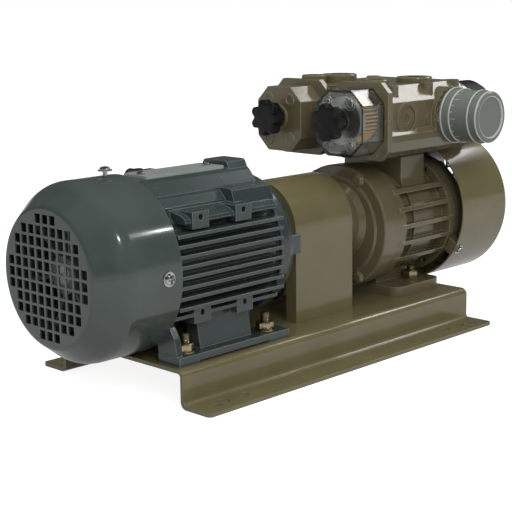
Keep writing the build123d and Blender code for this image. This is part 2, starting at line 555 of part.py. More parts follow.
def filter_element(sy):
    y0 = sy * CHANNEL_Y
    pts = []
    for k in range(PLEATS):
        for radius, step in ((PLEAT_R, 0.0), (PLEAT_ROOT, 0.5)):
            a = 2 * math.pi * (k + step) / PLEATS
            pts.append((y0 + radius * math.cos(a), CHANNEL_Z + radius * math.sin(a)))
    body = extrude_x(pts, CASE_X0 + 6, CASE_X1 - 2)
    body += rod(CASE_X0 + 4, CASE_X0 + 6, PLEAT_R + 1, y=y0, z=CHANNEL_Z)
    body += rod(CASE_X1 - 2, CASE_X1, PLEAT_R + 1, y=y0, z=CHANNEL_Z)
    return body - rod(CASE_X0 + 3, CASE_X1 + 1, PLEAT_IN, y=y0, z=CHANNEL_Z)


def star_knob(sy):
    """Seven-lobed hand knob with its through-stud."""
    y0, x1 = sy * CHANNEL_Y, KNOB_X0 + KNOB_T
    body = rod(KNOB_X0, x1, KNOB_R, y=y0, z=CHANNEL_Z)
    body = chamfer(body.edges().filter_by(GeomType.CIRCLE), 1.5)
    for k in range(KNOB_LOBES):
        a = 2 * math.pi * (k + 0.5) / KNOB_LOBES
        dy, dz = 20.3 * math.cos(a), 20.3 * math.sin(a)
        body -= rod(KNOB_X0 - 1, x1 + 1, 5.5, y=y0 + dy, z=CHANNEL_Z + dz)
    body += rod(x1, CASE_X0 - 1.5 - CLEAR, 9.0, y=y0, z=CHANNEL_Z)
    return body + rod(KNOB_X0 + 5, CASE_X1 + 8, 2.5, y=y0, z=CHANNEL_Z)


# ---------------------------------------------------------------- regulators
def regulator_base():
    body = Pos(REG_X, REG_Y[0], REG_Z) * Rot(90, 0, 0) * hexagon(46, 4 - CLEAR)
    return body + rod_y(-46, REG_Y[0], 8.9, REG_X, REG_Z)


def regulator_knob():
    """Stepped grip: skirt, narrow waist with a rim at each end, and a cap with a recessed face."""
    y0, y1, y2, y3 = REG_Y[1:]
    cap = rod_y(y2, y3, 23.5, REG_X, REG_Z)
    body = chamfer(cap.edges().filter_by(GeomType.CIRCLE).group_by(Axis.Y)[0], 1.5)
    for start, end, r in ((y0, y0 - 2, 26.0), (y0 - 2, y1, 25.0), (y1, y1 - 1, 25.0),
                          (y1, y2, 24.1), (y2, y2 - 2, 24.7)):
        body += rod_y(start, end, r, REG_X, REG_Z)
    return body - rod_y(y3 - 1, y3 + 1.5, 19.2, REG_X, REG_Z)


def relief_base():
    x = MAN_X1
    spans = ((x - 14, x, 8.9), (x, x + 3, 27.0), (x + 3, x + 5, 22.0), (x + 5, x + 8, 26.0))
    return union([rod(x0, x1, r, y=-CHANNEL_Y, z=CHANNEL_Z) for x0, x1, r in spans])


def relief_cap():
    x = MAN_X1 + 8 + CLEAR
    pts = [(x, 0), (x, 25.5), (x + 26, 25.5), (x + 34, 22.5), (x + 39, 16), (x + 41, 8), (x + 41, 0)]
    return turned(pts, z=CHANNEL_Z, y=-CHANNEL_Y)


# ---------------------------------------------------------------- assembly
m_rear_out, m_rear_in = bearing(MOTOR_X0)
m_front_out, m_front_in = bearing(MOTOR_X1 + 2)
p_front_out, p_front_in = bearing(FRONT_X0 - 25)
p_rear_out, p_rear_in = bearing(REAR_X1 - 3)

parts["base_plate"] = base_plate()
parts["motor_frame"] = motor_frame()
parts["motor_fan_cover"] = motor_fan_cover()
parts["motor_rear_bracket"] = rear_bracket()
parts["motor_drive_bracket"] = drive_bracket()
parts["stator_core"] = ring(-152, -88, 32.6, CORE_IN)
parts["stator_windings"] = union([ring(-166, -152, 36, 48), ring(-88, -74, 36, 48)])
parts["motor_rotor_core"] = ring(-152, -88, SHAFT_R, 32.0)
parts["motor_shaft"] = motor_shaft()
parts["motor_fan"] = motor_fan()
parts["bearing_outer_rings"] = union([m_rear_out, m_front_out, p_front_out, p_rear_out])
parts["motor_inner_rings"] = union([m_rear_in, m_front_in])
parts["terminal_box"] = terminal_box()
parts["terminal_box_lid"] = terminal_lid()
parts["cable_gland"] = cable_gland()
parts["lid_screws"] = union([lid_screw(x) for x in LID_SCREW_X])
parts["fan_cover_screws"] = union([side_screw(COVER_SCREW_X, a, COVER_R) for a in (0, 90, 180, 270)])
parts["motor_bolts"] = union([bolt_up(x, sy * MOTOR_BOLT_Y, BASE_H + FOOT_T, BASE_H - SHEET)
                              for x in MOTOR_BOLT_X for sy in (-1, 1)])
parts["coupling_hub_motor"] = coupling_hub(-31, -11, -11, -1, 0)
parts["coupling_hub_pump"] = coupling_hub(3, 23, -7, 3, 60)
parts["coupling_spider"] = spider()
parts["coupling_guard"] = coupling_guard()
parts["guard_screws"] = guard_screws()
parts["pump_front_cover"] = front_cover()
parts["pump_cylinder"] = pump_cylinder()
parts["pump_rear_cover"] = rear_cover()
parts["pump_rotor"] = pump_rotor()
for number, angle in enumerate(VANE_ANGLES, 1):
    parts[f"vane_{number}"] = vane(angle)
parts["pump_inner_rings"] = union([p_front_in, p_rear_in])
parts["pump_fan"] = pump_fan()
parts["pump_fan_cover"] = pump_fan_cover()
parts["pump_cover_screws"] = union([side_screw(DRUM_SCREW_X, a, DRUM_R, head_r=4.2)
                                    for a in drum_screw_turns()])
parts["front_cover_bolts"] = cover_bolts(FRONT_X0, -1)
parts["rear_cover_bolts"] = cover_bolts(REAR_X1, 1)
parts["pump_bolts"] = union([bolt_up(x, sy * PUMP_BOLT_Y, BASE_H + PUMP_FOOT[3], BASE_H - SHEET, stick=5.0)
                             for x in PUMP_BOLT_X for sy in (-1, 1)])
parts["manifold"] = manifold()
for number, port in enumerate(PORTS, 1):
    parts[f"port_collar_{number}"] = port_collar(*port)
parts["neck_gasket"] = neck_gasket()
parts["side_plug"] = side_plug()
for name, sy in (("clear", -1), ("painted", 1)):
    parts[f"{name}_filter_case"] = filter_case(sy)
    parts[f"{name}_case_element"] = filter_element(sy)
    parts[f"{name}_case_knob"] = star_knob(sy)
parts["regulator_base"] = regulator_base()
parts["regulator_knob"] = regulator_knob()
parts["relief_base"] = relief_base()
parts["relief_cap"] = relief_cap()

os.makedirs("parts", exist_ok=True)
for name, shape in parts.items():
    shape.label = name
    export_step(shape, f"parts/{name}.step")
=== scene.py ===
"""Dry rotary vane vacuum pump set on a pressed base plate: finishes and fine detail."""
import json
import math

import bmesh
import bpy
from mathutils import Matrix, Vector


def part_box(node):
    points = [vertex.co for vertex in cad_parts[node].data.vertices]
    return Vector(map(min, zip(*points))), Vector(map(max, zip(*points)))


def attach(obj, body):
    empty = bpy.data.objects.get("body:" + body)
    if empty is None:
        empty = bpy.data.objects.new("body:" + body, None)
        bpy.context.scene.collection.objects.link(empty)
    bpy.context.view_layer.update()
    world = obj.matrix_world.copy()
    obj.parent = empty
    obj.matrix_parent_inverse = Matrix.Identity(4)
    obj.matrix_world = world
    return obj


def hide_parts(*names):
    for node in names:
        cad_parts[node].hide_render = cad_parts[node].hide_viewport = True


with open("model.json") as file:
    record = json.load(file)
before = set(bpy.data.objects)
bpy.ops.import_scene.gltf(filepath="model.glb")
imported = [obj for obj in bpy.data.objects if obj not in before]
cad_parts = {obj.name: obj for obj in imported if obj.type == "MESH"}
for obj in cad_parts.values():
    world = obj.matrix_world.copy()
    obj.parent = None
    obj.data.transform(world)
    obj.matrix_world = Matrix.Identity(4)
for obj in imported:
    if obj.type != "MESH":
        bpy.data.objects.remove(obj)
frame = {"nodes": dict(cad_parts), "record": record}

scene = bpy.context.scene
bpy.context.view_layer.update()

# ------------------------------------------------------------------ camera
# A long lens a little above shaft height, off the motor's fan end, looking
# down the near side of the set.
camera = bpy.data.objects.new("camera", bpy.data.cameras.new("camera"))
scene.collection.objects.link(camera)
camera.matrix_world = (
    Matrix.Translation((-0.8107, -0.7727, 0.3131))
    @ Matrix.Rotation(math.radians(44.54 - 90), 4, "Z")
    @ Matrix.Rotation(math.radians(90 - 11.63), 4, "X")
    @ Matrix.Rotation(math.radians(-0.75), 4, "Z")
)
camera.data.lens = 89.3
camera.data.sensor_width = 36.0
camera.data.shift_x = -0.0037
scene.camera = camera

# ------------------------------------------------------------------ studio
# White table in white surroundings under a dim ceiling. Two large lamps kept
# out of reflections give the light, and three small ones give the glints.
scene.view_settings.view_transform = "Standard"


def linear(code):
    """Linear colour of an sRGB hex code."""
    parts = [int(code[i:i + 2], 16) / 255 for i in (1, 3, 5)]
    return tuple(c / 12.92 if c <= 0.04045 else ((c + 0.055) / 1.055) ** 2.4 for c in parts) + (1.0,)


def add(tree, kind, values=None, **settings):
    """Adds a node with its settings, and sets or links its inputs."""
    node = tree.nodes.new(kind)
    for key, value in settings.items():
        setattr(node, key, value)
    for socket, value in (values or {}).items():
        if isinstance(value, bpy.types.NodeSocket):
            tree.links.new(value, node.inputs[socket])
        else:
            node.inputs[socket].default_value = value
    return node


def begin(name):
    """New material with an empty node tree."""
    material = bpy.data.materials.new(name)
    material.use_nodes = True
    material.node_tree.nodes.clear()
    return material, material.node_tree


fill, gleam_of_walls, gleam_of_ceiling, ceiling_from = 0.57, 0.62, 0.07, 0.07
world = bpy.data.worlds.new("white surroundings")
scene.world = world
world.use_nodes = True
sky = world.node_tree
sky.nodes.clear()
path = add(sky, "ShaderNodeLightPath")
seen = add(sky, "ShaderNodeMath", {
    0: path.outputs["Is Camera Ray"], 1: path.outputs["Is Transmission Ray"]}, operation="MAXIMUM")
# gloss sees pale walls at the horizon, and a dim ceiling from a little above it
level = add(sky, "ShaderNodeSeparateXYZ", {0: add(sky, "ShaderNodeTexCoord").outputs["Generated"]})
ceiling = add(sky, "ShaderNodeMapRange", {
    "Value": level.outputs["Z"], "From Min": 0.0, "From Max": ceiling_from,
    "To Min": gleam_of_walls, "To Max": gleam_of_ceiling}, interpolation_type="SMOOTHSTEP")
mirror = add(sky, "ShaderNodeMix", {
    "Factor": path.outputs["Is Glossy Ray"], "A": fill, "B": ceiling.outputs[0]})
strength = add(sky, "ShaderNodeMix", {"Factor": seen.outputs[0], "A": mirror.outputs[0], "B": 1.0})
glow = add(sky, "ShaderNodeBackground", {"Color": linear("#ffffff"), "Strength": strength.outputs[0]})
add(sky, "ShaderNodeOutputWorld", {"Surface": glow.outputs[0]})

# the board glows on its own where it is looked at, so shadows on it stay faint
board_glow, gleam_of_board = 0.88, 0.25
table_top = bpy.data.meshes.new("table")
table_top.from_pydata([(-9, -9, 0), (9, -9, 0), (9, 9, 0), (-9, 9, 0)], [], [(0, 1, 2, 3)])
table = bpy.data.objects.new("table", table_top)
scene.collection.objects.link(table)
paper, tree = begin("matt white board")
path = add(tree, "ShaderNodeLightPath")
seen = add(tree, "ShaderNodeMath", {
    0: path.outputs["Is Camera Ray"], 1: path.outputs["Is Transmission Ray"]}, operation="MAXIMUM")
board = add(tree, "ShaderNodeBsdfDiffuse", {"Color": linear("#b4b4b4")})
mirror = add(tree, "ShaderNodeMapRange", {
    "Value": path.outputs["Is Glossy Ray"], "To Min": 0.0, "To Max": gleam_of_board})
strength = add(tree, "ShaderNodeMix", {"Factor": seen.outputs[0], "A": mirror.outputs[0], "B": board_glow})
lift = add(tree, "ShaderNodeEmission", {"Color": linear("#ffffff"), "Strength": strength.outputs[0]})
both = add(tree, "ShaderNodeAddShader", {0: board.outputs[0], 1: lift.outputs[0]})
add(tree, "ShaderNodeOutputMaterial", {"Surface": both.outputs[0]})
table_top.materials.append(paper)


def lamp(name, place, aim, width, depth, power, mirrored=True):
    """Rectangular lamp in metres and watts; mirrored says whether gloss shows it."""
    light = bpy.data.lights.new(name, "AREA")
    light.shape, light.size, light.size_y, light.energy = "RECTANGLE", width, depth, power
    holder = bpy.data.objects.new(name, light)
    scene.collection.objects.link(holder)
    holder.location = place
    holder.rotation_euler = (Vector(aim) - Vector(place)).to_track_quat("-Z", "Y").to_euler()
    holder.visible_glossy = mirrored


lamp("overhead softbox", (0.10, 0.05, 1.5), aim=(0.1, 0.0, 0.1), width=1.1, depth=0.8, power=7.0,
     mirrored=False)
lamp("front softbox", (-0.9, -1.4, 0.9), aim=(0.0, 0.0, 0.1), width=0.9, depth=0.7, power=9.0,
     mirrored=False)
lamp("far softbox", (1.28, -0.20, 1.14), aim=(0.1, 0.0, 0.2), width=0.45, depth=0.36, power=3.0)
lamp("front strip", (-0.291, -1.015, 1.019), aim=(-0.23, -0.06, 0.14), width=0.04, depth=0.11, power=1.5)
lamp("corner strip", (0.716, -0.796, 0.914), aim=(-0.19, -0.06, 0.14), width=0.05, depth=0.05, power=0.45)

# ------------------------------------------------------------------ base plate
# Steel sheet bent to a hat section, punched, and sprayed with gloss enamel
# after bending; the lighter line along each bend is thin enamel and painted highlight.


def enamel(name, shade, dark, edge, peel_mm, peel_deep_mm, rough, corner_mm):
    """Sprayed gloss enamel: slight colour drift, orange peel, softened edges that pale from thinner paint and
    from a painted highlight.
    """
    material, tree = begin(name)
    place = add(tree, "ShaderNodeTexCoord").outputs["Object"]
    drift = add(tree, "ShaderNodeTexNoise", {"Vector": place, "Scale": 1 / 0.050, "Detail": 3.0})
    drift = add(tree, "ShaderNodeMapRange", {"Value": drift.outputs[0], "From Min": 0.35, "From Max": 0.65})
    body = add(tree, "ShaderNodeMixRGB", {
        "Fac": drift.outputs[0], "Color1": linear(dark), "Color2": linear(shade)})
    # the paint pales where the softened surface leans away from the flat face: thinner paint there, and a
    # painted highlight for the glints on edges
    soft = add(tree, "ShaderNodeBevel", {"Radius": corner_mm / 1000}, samples=4)
    flat = add(tree, "ShaderNodeNewGeometry")
    turn = add(tree, "ShaderNodeVectorMath", {
        0: soft.outputs[0], 1: flat.outputs["True Normal"]}, operation="DOT_PRODUCT")
    thin_paint_and_glint = add(tree, "ShaderNodeMapRange", {
        "Value": turn.outputs["Value"], "From Min": 0.985, "From Max": 0.86, "To Max": 0.55})
    tint = add(tree, "ShaderNodeMixRGB", {
        "Fac": thin_paint_and_glint.outputs[0], "Color1": body.outputs[0], "Color2": linear(edge)})
    # the real peel is finer and is drawn this coarse to show
    peel = add(tree, "ShaderNodeTexNoise", {"Vector": place, "Scale": 1000 / peel_mm, "Detail": 2.0})
    bump = add(tree, "ShaderNodeBump", {
        "Height": peel.outputs[0], "Strength": 0.5, "Distance": peel_deep_mm / 1000,
        "Normal": soft.outputs[0]})
    haze = add(tree, "ShaderNodeTexNoise", {"Vector": place, "Scale": 1 / 0.012, "Detail": 2.0})
    haze = add(tree, "ShaderNodeMapRange", {
        "Value": haze.outputs[0], "To Min": rough - 0.05, "To Max": rough + 0.07})
    paint = add(tree, "ShaderNodeBsdfPrincipled", {
        "Base Color": tint.outputs[0], "Roughness": haze.outputs[0], "IOR": 1.50, "Coat Weight": 0.30,
        "Coat Roughness": 0.07, "Normal": bump.outputs[0], "Coat Normal": bump.outputs[0]})
    add(tree, "ShaderNodeOutputMaterial", {"Surface": paint.outputs[0]})
    return material


def finish_nodes(material, *nodes):
    """Gives CAD nodes their finish."""
    for node in nodes:
        mesh = frame["nodes"][node].data
        mesh.materials.clear()
        mesh.materials.append(material)


# even colour with sharp reflections, and a paler line along each bend that is partly painted highlight
olive_sheet = enamel("olive enamel on sheet", shade="#726a4c", dark="#696244", edge="#a39a80",
                     peel_mm=1.6, peel_deep_mm=0.008, rough=0.17, corner_mm=0.7)
finish_nodes(olive_sheet, "base_plate")

# ------------------------------------------------------------------ motor castings
# Aluminium die castings: the finned frame with its feet, both end brackets
# and the terminal box, sprayed slate grey over a fine cast skin.

# dark and glossy over a slightly pebbled skin, with bright thin lines on fin edges, partly painted highlight
slate_cast = enamel("slate enamel on casting", shade="#384341", dark="#313c39", edge="#a3adab",
                    peel_mm=1.1, peel_deep_mm=0.030, rough=0.24, corner_mm=1.2)
finish_nodes(slate_cast, "motor_frame", "motor_rear_bracket", "terminal_box")

# the same paint on the drive-end bracket, whose full corners catch a broad soft glint
slate_round = enamel("slate enamel on rounded casting", shade="#394442", dark="#323d3a", edge="#7b8583",
                     peel_mm=1.1, peel_deep_mm=0.030, rough=0.20, corner_mm=3.0)
finish_nodes(slate_round, "motor_drive_bracket")

# ------------------------------------------------------------------ inside the motor
# Laminated core with lacquered coils, and the ground shaft that carries the
# rotor between two ball bearings.


def metal(name, shade, rough, grain_mm, grain_deep_mm):
    """Bare or plated metal with a fine grain and uneven dulling."""
    material, tree = begin(name)
    place = add(tree, "ShaderNodeTexCoord").outputs["Object"]
    # tool marks are finer than this and are drawn coarser to show
    grain = add(tree, "ShaderNodeTexNoise", {"Vector": place, "Scale": 1000 / grain_mm, "Detail": 3.0})
    patch = add(tree, "ShaderNodeTexNoise", {"Vector": place, "Scale": 1 / 0.006, "Detail": 2.0})
    dull = add(tree, "ShaderNodeMapRange", {
        "Value": patch.outputs[0], "To Min": rough - 0.08, "To Max": rough + 0.10})
    soft = add(tree, "ShaderNodeBevel", {"Radius": 0.0003}, samples=4)
    bump = add(tree, "ShaderNodeBump", {
        "Height": grain.outputs[0], "Strength": 0.4, "Distance": grain_deep_mm / 1000,
        "Normal": soft.outputs[0]})
    bare = add(tree, "ShaderNodeBsdfPrincipled", {
        "Base Color": linear(shade), "Metallic": 1.0, "Roughness": dull.outputs[0],
        "Normal": bump.outputs[0]})
    add(tree, "ShaderNodeOutputMaterial", {"Surface": bare.outputs[0]})
    return material


# cool bright grey with soft, even reflections
steel = metal("ground steel", shade="#a9abac", rough=0.30, grain_mm=0.4, grain_deep_mm=0.003)
finish_nodes(steel, "motor_shaft", "bearing_outer_rings", "motor_inner_rings", "pump_inner_rings")
# darker and duller than solid steel, from the stacked sheet edges
lamination = metal("laminated core steel", shade="#6b6a68", rough=0.50, grain_mm=0.5, grain_deep_mm=0.020)
finish_nodes(lamination, "stator_core", "motor_rotor_core")
# copper seen through amber lacquer, so brown with a warm shine
wire = metal("lacquered copper wire", shade="#8a4a2a", rough=0.35, grain_mm=0.8, grain_deep_mm=0.10)
finish_nodes(wire, "stator_windings")

# ------------------------------------------------------------------ motor fan cover and fan
# Deep-drawn steel cover with a punched grille, sprayed like the motor, and
# the moulded fan behind it.

# the smoothest paint on the set, so lamps show in it as small hard spots
slate_sheet = enamel("slate enamel on drawn sheet", shade="#47514d", dark="#404945", edge="#9aa4a2",
                     peel_mm=2.2, peel_deep_mm=0.008, rough=0.15, corner_mm=0.6)
finish_nodes(slate_sheet, "motor_fan_cover")
# dull moulded grey that stays visible in the shade behind the grille
slate_fan = enamel("slate polypropylene", shade="#646b68", dark="#5b625f", edge="#858d8a",
                   peel_mm=0.9, peel_deep_mm=0.010, rough=0.45, corner_mm=0.5)
finish_nodes(slate_fan, "motor_fan")

# ------------------------------------------------------------------ fan cover screws
# Four zinc-plated pan-head screws with a cross recess over wide washers,
# driven through the cover into the rear bracket's rim. The top one is left
# standing proud.

# the whitest metal here, which makes each screw head a bright dot
zinc = metal("bright zinc plate", shade="#c3c5c6", rough=0.26, grain_mm=0.5, grain_deep_mm=0.004)


def lathe(work, profile, place=(0, 0, 0), lead="Z", steps=40, closed=False, reach=None):
    """Turns (radius, height) points about an axis through place; reach caps the radius at an angle."""
    spin = {"Z": Matrix.Identity(3), "X": Matrix.Rotation(math.radians(90), 3, "Y"),
            "-Y": Matrix.Rotation(math.radians(90), 3, "X")}[lead]
    centre = Vector(place)
    rings = []
    for radius, height in profile:
        if radius < 1e-7:
            rings.append([work.verts.new(spin @ Vector((0, 0, height)) + centre)])
            continue
        ring = []
        for k in range(steps):
            a = 2 * math.pi * k / steps
            r = min(radius, reach(a)) if reach else radius
            point = spin @ Vector((r * math.cos(a), r * math.sin(a), height))
            ring.append(work.verts.new(point + centre))
        rings.append(ring)
    pairs = list(zip(rings, rings[1:])) + ([(rings[-1], rings[0])] if closed else [])
    for low, high in pairs:
        for k in range(steps):
            n = (k + 1) % steps
            if len(low) == 1:
                corners = [low[0], high[k], high[n]]
            elif len(high) == 1:
                corners = [low[k], low[n], high[0]]
            else:
                corners = [low[k], low[n], high[n], high[k]]
            work.faces.new(corners)
    return rings


def body_of(name, work, material, angle=35.0):
    """Plain object from a bmesh, with faces pointing out and edges sharp past an angle."""
    bmesh.ops.recalc_face_normals(work, faces=work.faces)
    mesh = bpy.data.meshes.new(name)
    work.to_mesh(mesh)
    work.free()
    mesh.shade_smooth()
    mesh.set_sharp_from_angle(angle=math.radians(angle))
    mesh.materials.append(material)
    piece = bpy.data.objects.new(name, mesh)
    scene.collection.objects.link(piece)
    return piece


def seat(piece, body, slot, *nodes):
    """Fixes a piece to its body, in place of CAD nodes where there are any; slot is not used."""
    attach(piece, body)
    if nodes:
        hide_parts(*nodes)


def cross_head(work, head_r, head_h, washer_r, washer_t, shank_r, shank, lift=0.0):
    """Washer, domed head with a cross recess, and shank, along +Z; lift stands it off the seat at zero."""
    shank_end, base, rings = lift + washer_t * 0.5, lift + washer_t, 9
    lathe(work, [(0, -shank), (shank_r, -shank), (shank_r, shank_end), (0, shank_end)], steps=16)
    lathe(work, [(shank_r, lift), (washer_r, lift), (washer_r, base), (shank_r, base)], closed=True)
    profile = [(0.0, base), (head_r, base), (head_r * 1.02, base + head_h * 0.3)]
    profile += [(head_r * math.cos(t), base + head_h * (0.4 + 0.6 * math.sin(t)))
                for t in (math.pi / 2 * k / rings for k in range(1, rings))] + [(0, base + head_h)]
    arm_half_width, arm_reach, recess_depth = head_r * 0.17, head_r * 0.66, head_h * 0.55
    for ring in lathe(work, profile, steps=48)[4:]:
        for v in ring:
            if min(abs(v.co.x), abs(v.co.y)) < arm_half_width and math.hypot(v.co.x, v.co.y) < arm_reach:
                v.co.z -= recess_depth


def setting_out(name, inputs, layout):
    """Tree that puts a part on points: layout gives the position and turn of a point from its index."""
    tree = bpy.data.node_groups.new(name, "GeometryNodeTree")
    shared = [("Part", "Object"), ("Finish", "Material"), ("Count", "Int"), ("Place", "Vector"),
              ("Turn", "Vector")]
    for label, kind in shared + inputs:
        tree.interface.new_socket(label, in_out="INPUT", socket_type="NodeSocket" + kind)
    tree.interface.new_socket("Geometry", in_out="OUTPUT", socket_type="NodeSocketGeometry")
    given = add(tree, "NodeGroupInput").outputs
    index = add(tree, "GeometryNodeInputIndex").outputs[0]
    position, turn = layout(tree, given, index)
    points = add(tree, "GeometryNodePoints", {"Count": given["Count"], "Position": position})
    part = add(tree, "GeometryNodeObjectInfo", {"Object": given["Part"]})
    copies = add(tree, "GeometryNodeInstanceOnPoints", {
        "Points": points.outputs[0], "Instance": part.outputs["Geometry"], "Rotation": turn})
    moved = add(tree, "GeometryNodeTransform", {
        "Geometry": copies.outputs[0], "Translation": given["Place"], "Rotation": given["Turn"]})
    real = add(tree, "GeometryNodeRealizeInstances", {"Geometry": moved.outputs[0]})
    faced = add(tree, "GeometryNodeSetMaterial", {"Geometry": real.outputs[0], "Material": given["Finish"]})
    add(tree, "NodeGroupOutput", {"Geometry": faced.outputs[0]})
    return tree


def around_axis(tree, given, index):
    """Points on a circle: First, then Step for each, with an extra Gap after every second one."""
    halved = add(tree, "ShaderNodeMath", {0: index, 1: 2.0}, operation="DIVIDE")
    pairs = add(tree, "ShaderNodeMath", {0: halved.outputs[0]}, operation="FLOOR")
    gaps = add(tree, "ShaderNodeMath", {0: pairs.outputs[0], 1: given["Gap"]}, operation="MULTIPLY")
    steps = add(tree, "ShaderNodeMath", {0: index, 1: given["Step"]}, operation="MULTIPLY")
    even = add(tree, "ShaderNodeMath", {0: steps.outputs[0], 1: given["First"]}, operation="ADD")
    angle = add(tree, "ShaderNodeMath", {0: even.outputs[0], 1: gaps.outputs[0]}, operation="ADD")
    cosine = add(tree, "ShaderNodeMath", {0: angle.outputs[0]}, operation="COSINE")
    sine = add(tree, "ShaderNodeMath", {0: angle.outputs[0]}, operation="SINE")
    x = add(tree, "ShaderNodeMath", {0: cosine.outputs[0], 1: given["Radius"]}, operation="MULTIPLY")
    y = add(tree, "ShaderNodeMath", {0: sine.outputs[0], 1: given["Radius"]}, operation="MULTIPLY")
    where = add(tree, "ShaderNodeCombineXYZ", {"X": x.outputs[0], "Y": y.outputs[0]})
    return where.outputs[0], add(tree, "ShaderNodeCombineXYZ", {"Z": angle.outputs[0]}).outputs[0]


ring_tree = setting_out(
    "set out round an axis",
    [("Radius", "Float"), ("First", "Float"), ("Step", "Float"), ("Gap", "Float")], around_axis)


def set_out(name, tree, part, material, **values):
    """Runs a setting-out tree once and keeps its result as a plain mesh."""
    carrier = bpy.data.objects.new(name + "_set", bpy.data.meshes.new(name + "_set"))
    scene.collection.objects.link(carrier)
    modifier = carrier.modifiers.new("set out", "NODES")
    modifier.node_group = tree
    values.update(Part=part, Finish=material)
    for item in tree.interface.items_tree:
        if item.in_out == "INPUT" and item.name in values:
            modifier[item.identifier] = values[item.name]
    graph = bpy.context.evaluated_depsgraph_get()
    mesh = bpy.data.meshes.new_from_object(carrier.evaluated_get(graph))
    mesh.name = name
    carrier.modifiers.remove(modifier)
    bpy.data.objects.remove(carrier)
    bpy.data.objects.remove(part)
    piece = bpy.data.objects.new(name, mesh)
    scene.collection.objects.link(piece)
    return piece


# a ring's points have +X away from their axis, and this turns that axis from Z to the shaft's X
along_x = (0.0, math.radians(90), 0.0)


def laid_over(work):
    """Turns a screw built along Z to point along X, out from a ring's axis."""
    bmesh.ops.transform(work, matrix=Matrix.Rotation(math.radians(90), 4, "Y"), verts=work.verts)


low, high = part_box("motor_fan_cover")
cover_r = (high[2] - low[2]) / 2
shaft_z = (high[2] + low[2]) / 2
low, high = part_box("fan_cover_screws")
for name, count, first, shank, lift, nodes in (("cover_screws", 3, -90, 0.008, 0.0, ["fan_cover_screws"]),
                                               ("top_cover_screw", 1, 180, 0.006, 0.0042, [])):
    work = bmesh.new()
    cross_head(work, head_r=0.0042, head_h=0.0028, washer_r=0.0058, washer_t=0.0009, shank_r=0.0019,
               shank=shank, lift=lift)
    laid_over(work)
    part = body_of(name + "_part", work, zinc)
    piece = set_out(name, ring_tree, part, zinc, Count=count, Radius=cover_r - 0.0001,
                    First=math.radians(first), Step=math.radians(90), Gap=0.0,
                    Place=((low[0] + high[0]) / 2, 0.0, shaft_z), Turn=along_x)
    seat(piece, "pump_set", "zinc", *nodes)

# ------------------------------------------------------------------ terminal box lid and gland
# Pressed lid in a lighter grey, held by two small cross-head screws, and a
# black nylon gland for the supply cable on the far side.

# light grey that reads as a separate plate on the dark box
pale_sheet = enamel("light grey enamel on sheet", shade="#989e98", dark="#8c928c", edge="#c4c8c4",
                    peel_mm=1.8, peel_deep_mm=0.010, rough=0.30, corner_mm=0.5)
finish_nodes(pale_sheet, "terminal_box_lid")


def moulded(name, shade, rough, grain_mm, grain_deep_mm):
    """Moulded plastic or rubber with a faint spark-eroded grain."""
    material, tree = begin(name)
    place = add(tree, "ShaderNodeTexCoord").outputs["Object"]
    grain = add(tree, "ShaderNodeTexNoise", {"Vector": place, "Scale": 1000 / grain_mm, "Detail": 3.0})
    soft = add(tree, "ShaderNodeBevel", {"Radius": 0.0006}, samples=4)
    bump = add(tree, "ShaderNodeBump", {
        "Height": grain.outputs[0], "Strength": 0.4, "Distance": grain_deep_mm / 1000,
        "Normal": soft.outputs[0]})
    haze = add(tree, "ShaderNodeMapRange", {
        "Value": grain.outputs[0], "To Min": rough - 0.05, "To Max": rough + 0.05})
    plastic = add(tree, "ShaderNodeBsdfPrincipled", {
        "Base Color": linear(shade), "Roughness": haze.outputs[0], "IOR": 1.49, "Normal": bump.outputs[0]})
    add(tree, "ShaderNodeOutputMaterial", {"Surface": plastic.outputs[0]})
    return material


# near black with a low sheen
nylon = moulded("black nylon", shade="#1b1c1c", rough=0.42, grain_mm=0.6, grain_deep_mm=0.010)
finish_nodes(nylon, "cable_gland")


def in_rows(tree, given, index):
    """Points on a grid: Columns to a row, Pitch apart, each turned further so no two heads line up."""
    share = add(tree, "ShaderNodeMath", {0: index, 1: given["Columns"]}, operation="DIVIDE")
    row = add(tree, "ShaderNodeMath", {0: share.outputs[0]}, operation="FLOOR")
    column = add(tree, "ShaderNodeMath", {0: index, 1: given["Columns"]}, operation="MODULO")
    cell = add(tree, "ShaderNodeCombineXYZ", {"X": column.outputs[0], "Y": row.outputs[0]})
    where = add(tree, "ShaderNodeVectorMath", {0: cell.outputs[0], 1: given["Pitch"]}, operation="MULTIPLY")
    turn = add(tree, "ShaderNodeMath", {0: index, 1: 0.7}, operation="MULTIPLY")
    return where.outputs[0], add(tree, "ShaderNodeCombineXYZ", {"Z": turn.outputs[0]}).outputs[0]


row_tree = setting_out("set out in rows", [("Columns", "Int"), ("Pitch", "Vector")], in_rows)

low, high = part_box("lid_screws")
lid_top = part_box("terminal_box_lid")[1][2]
washer_r = 0.0036
first, last = low[0] + washer_r, high[0] - washer_r
work = bmesh.new()
cross_head(work, head_r=0.0031, head_h=0.0021, washer_r=washer_r, washer_t=0.0003, shank_r=0.0015,
           shank=0.008)
part = body_of("lid_screw", work, zinc)
piece = set_out("box_lid_screws", row_tree, part, zinc, Count=2, Columns=2, Pitch=(last - first, 0.0, 0.0),
                Place=(first, 0.0, lid_top), Turn=(0.0, 0.0, 0.0))
seat(piece, "pump_set", "zinc", "lid_screws")

# ------------------------------------------------------------------ foot bolts
# M8 hexagon bolts come up through the base plate, with a flat washer and a
# chamfered nut on top, steel with yellow chromate over the zinc.

# zinc turned dull straw yellow, which sets the foot nuts off from the screws
yellow = metal("yellow chromate on zinc", shade="#b9aa88", rough=0.29, grain_mm=0.5, grain_deep_mm=0.004)


def hexagon(half_width):
    """Reach of a hexagon's side at each angle, for lathe."""
    return lambda a: half_width / math.cos((a + math.pi / 6) % (math.pi / 3) - math.pi / 6)


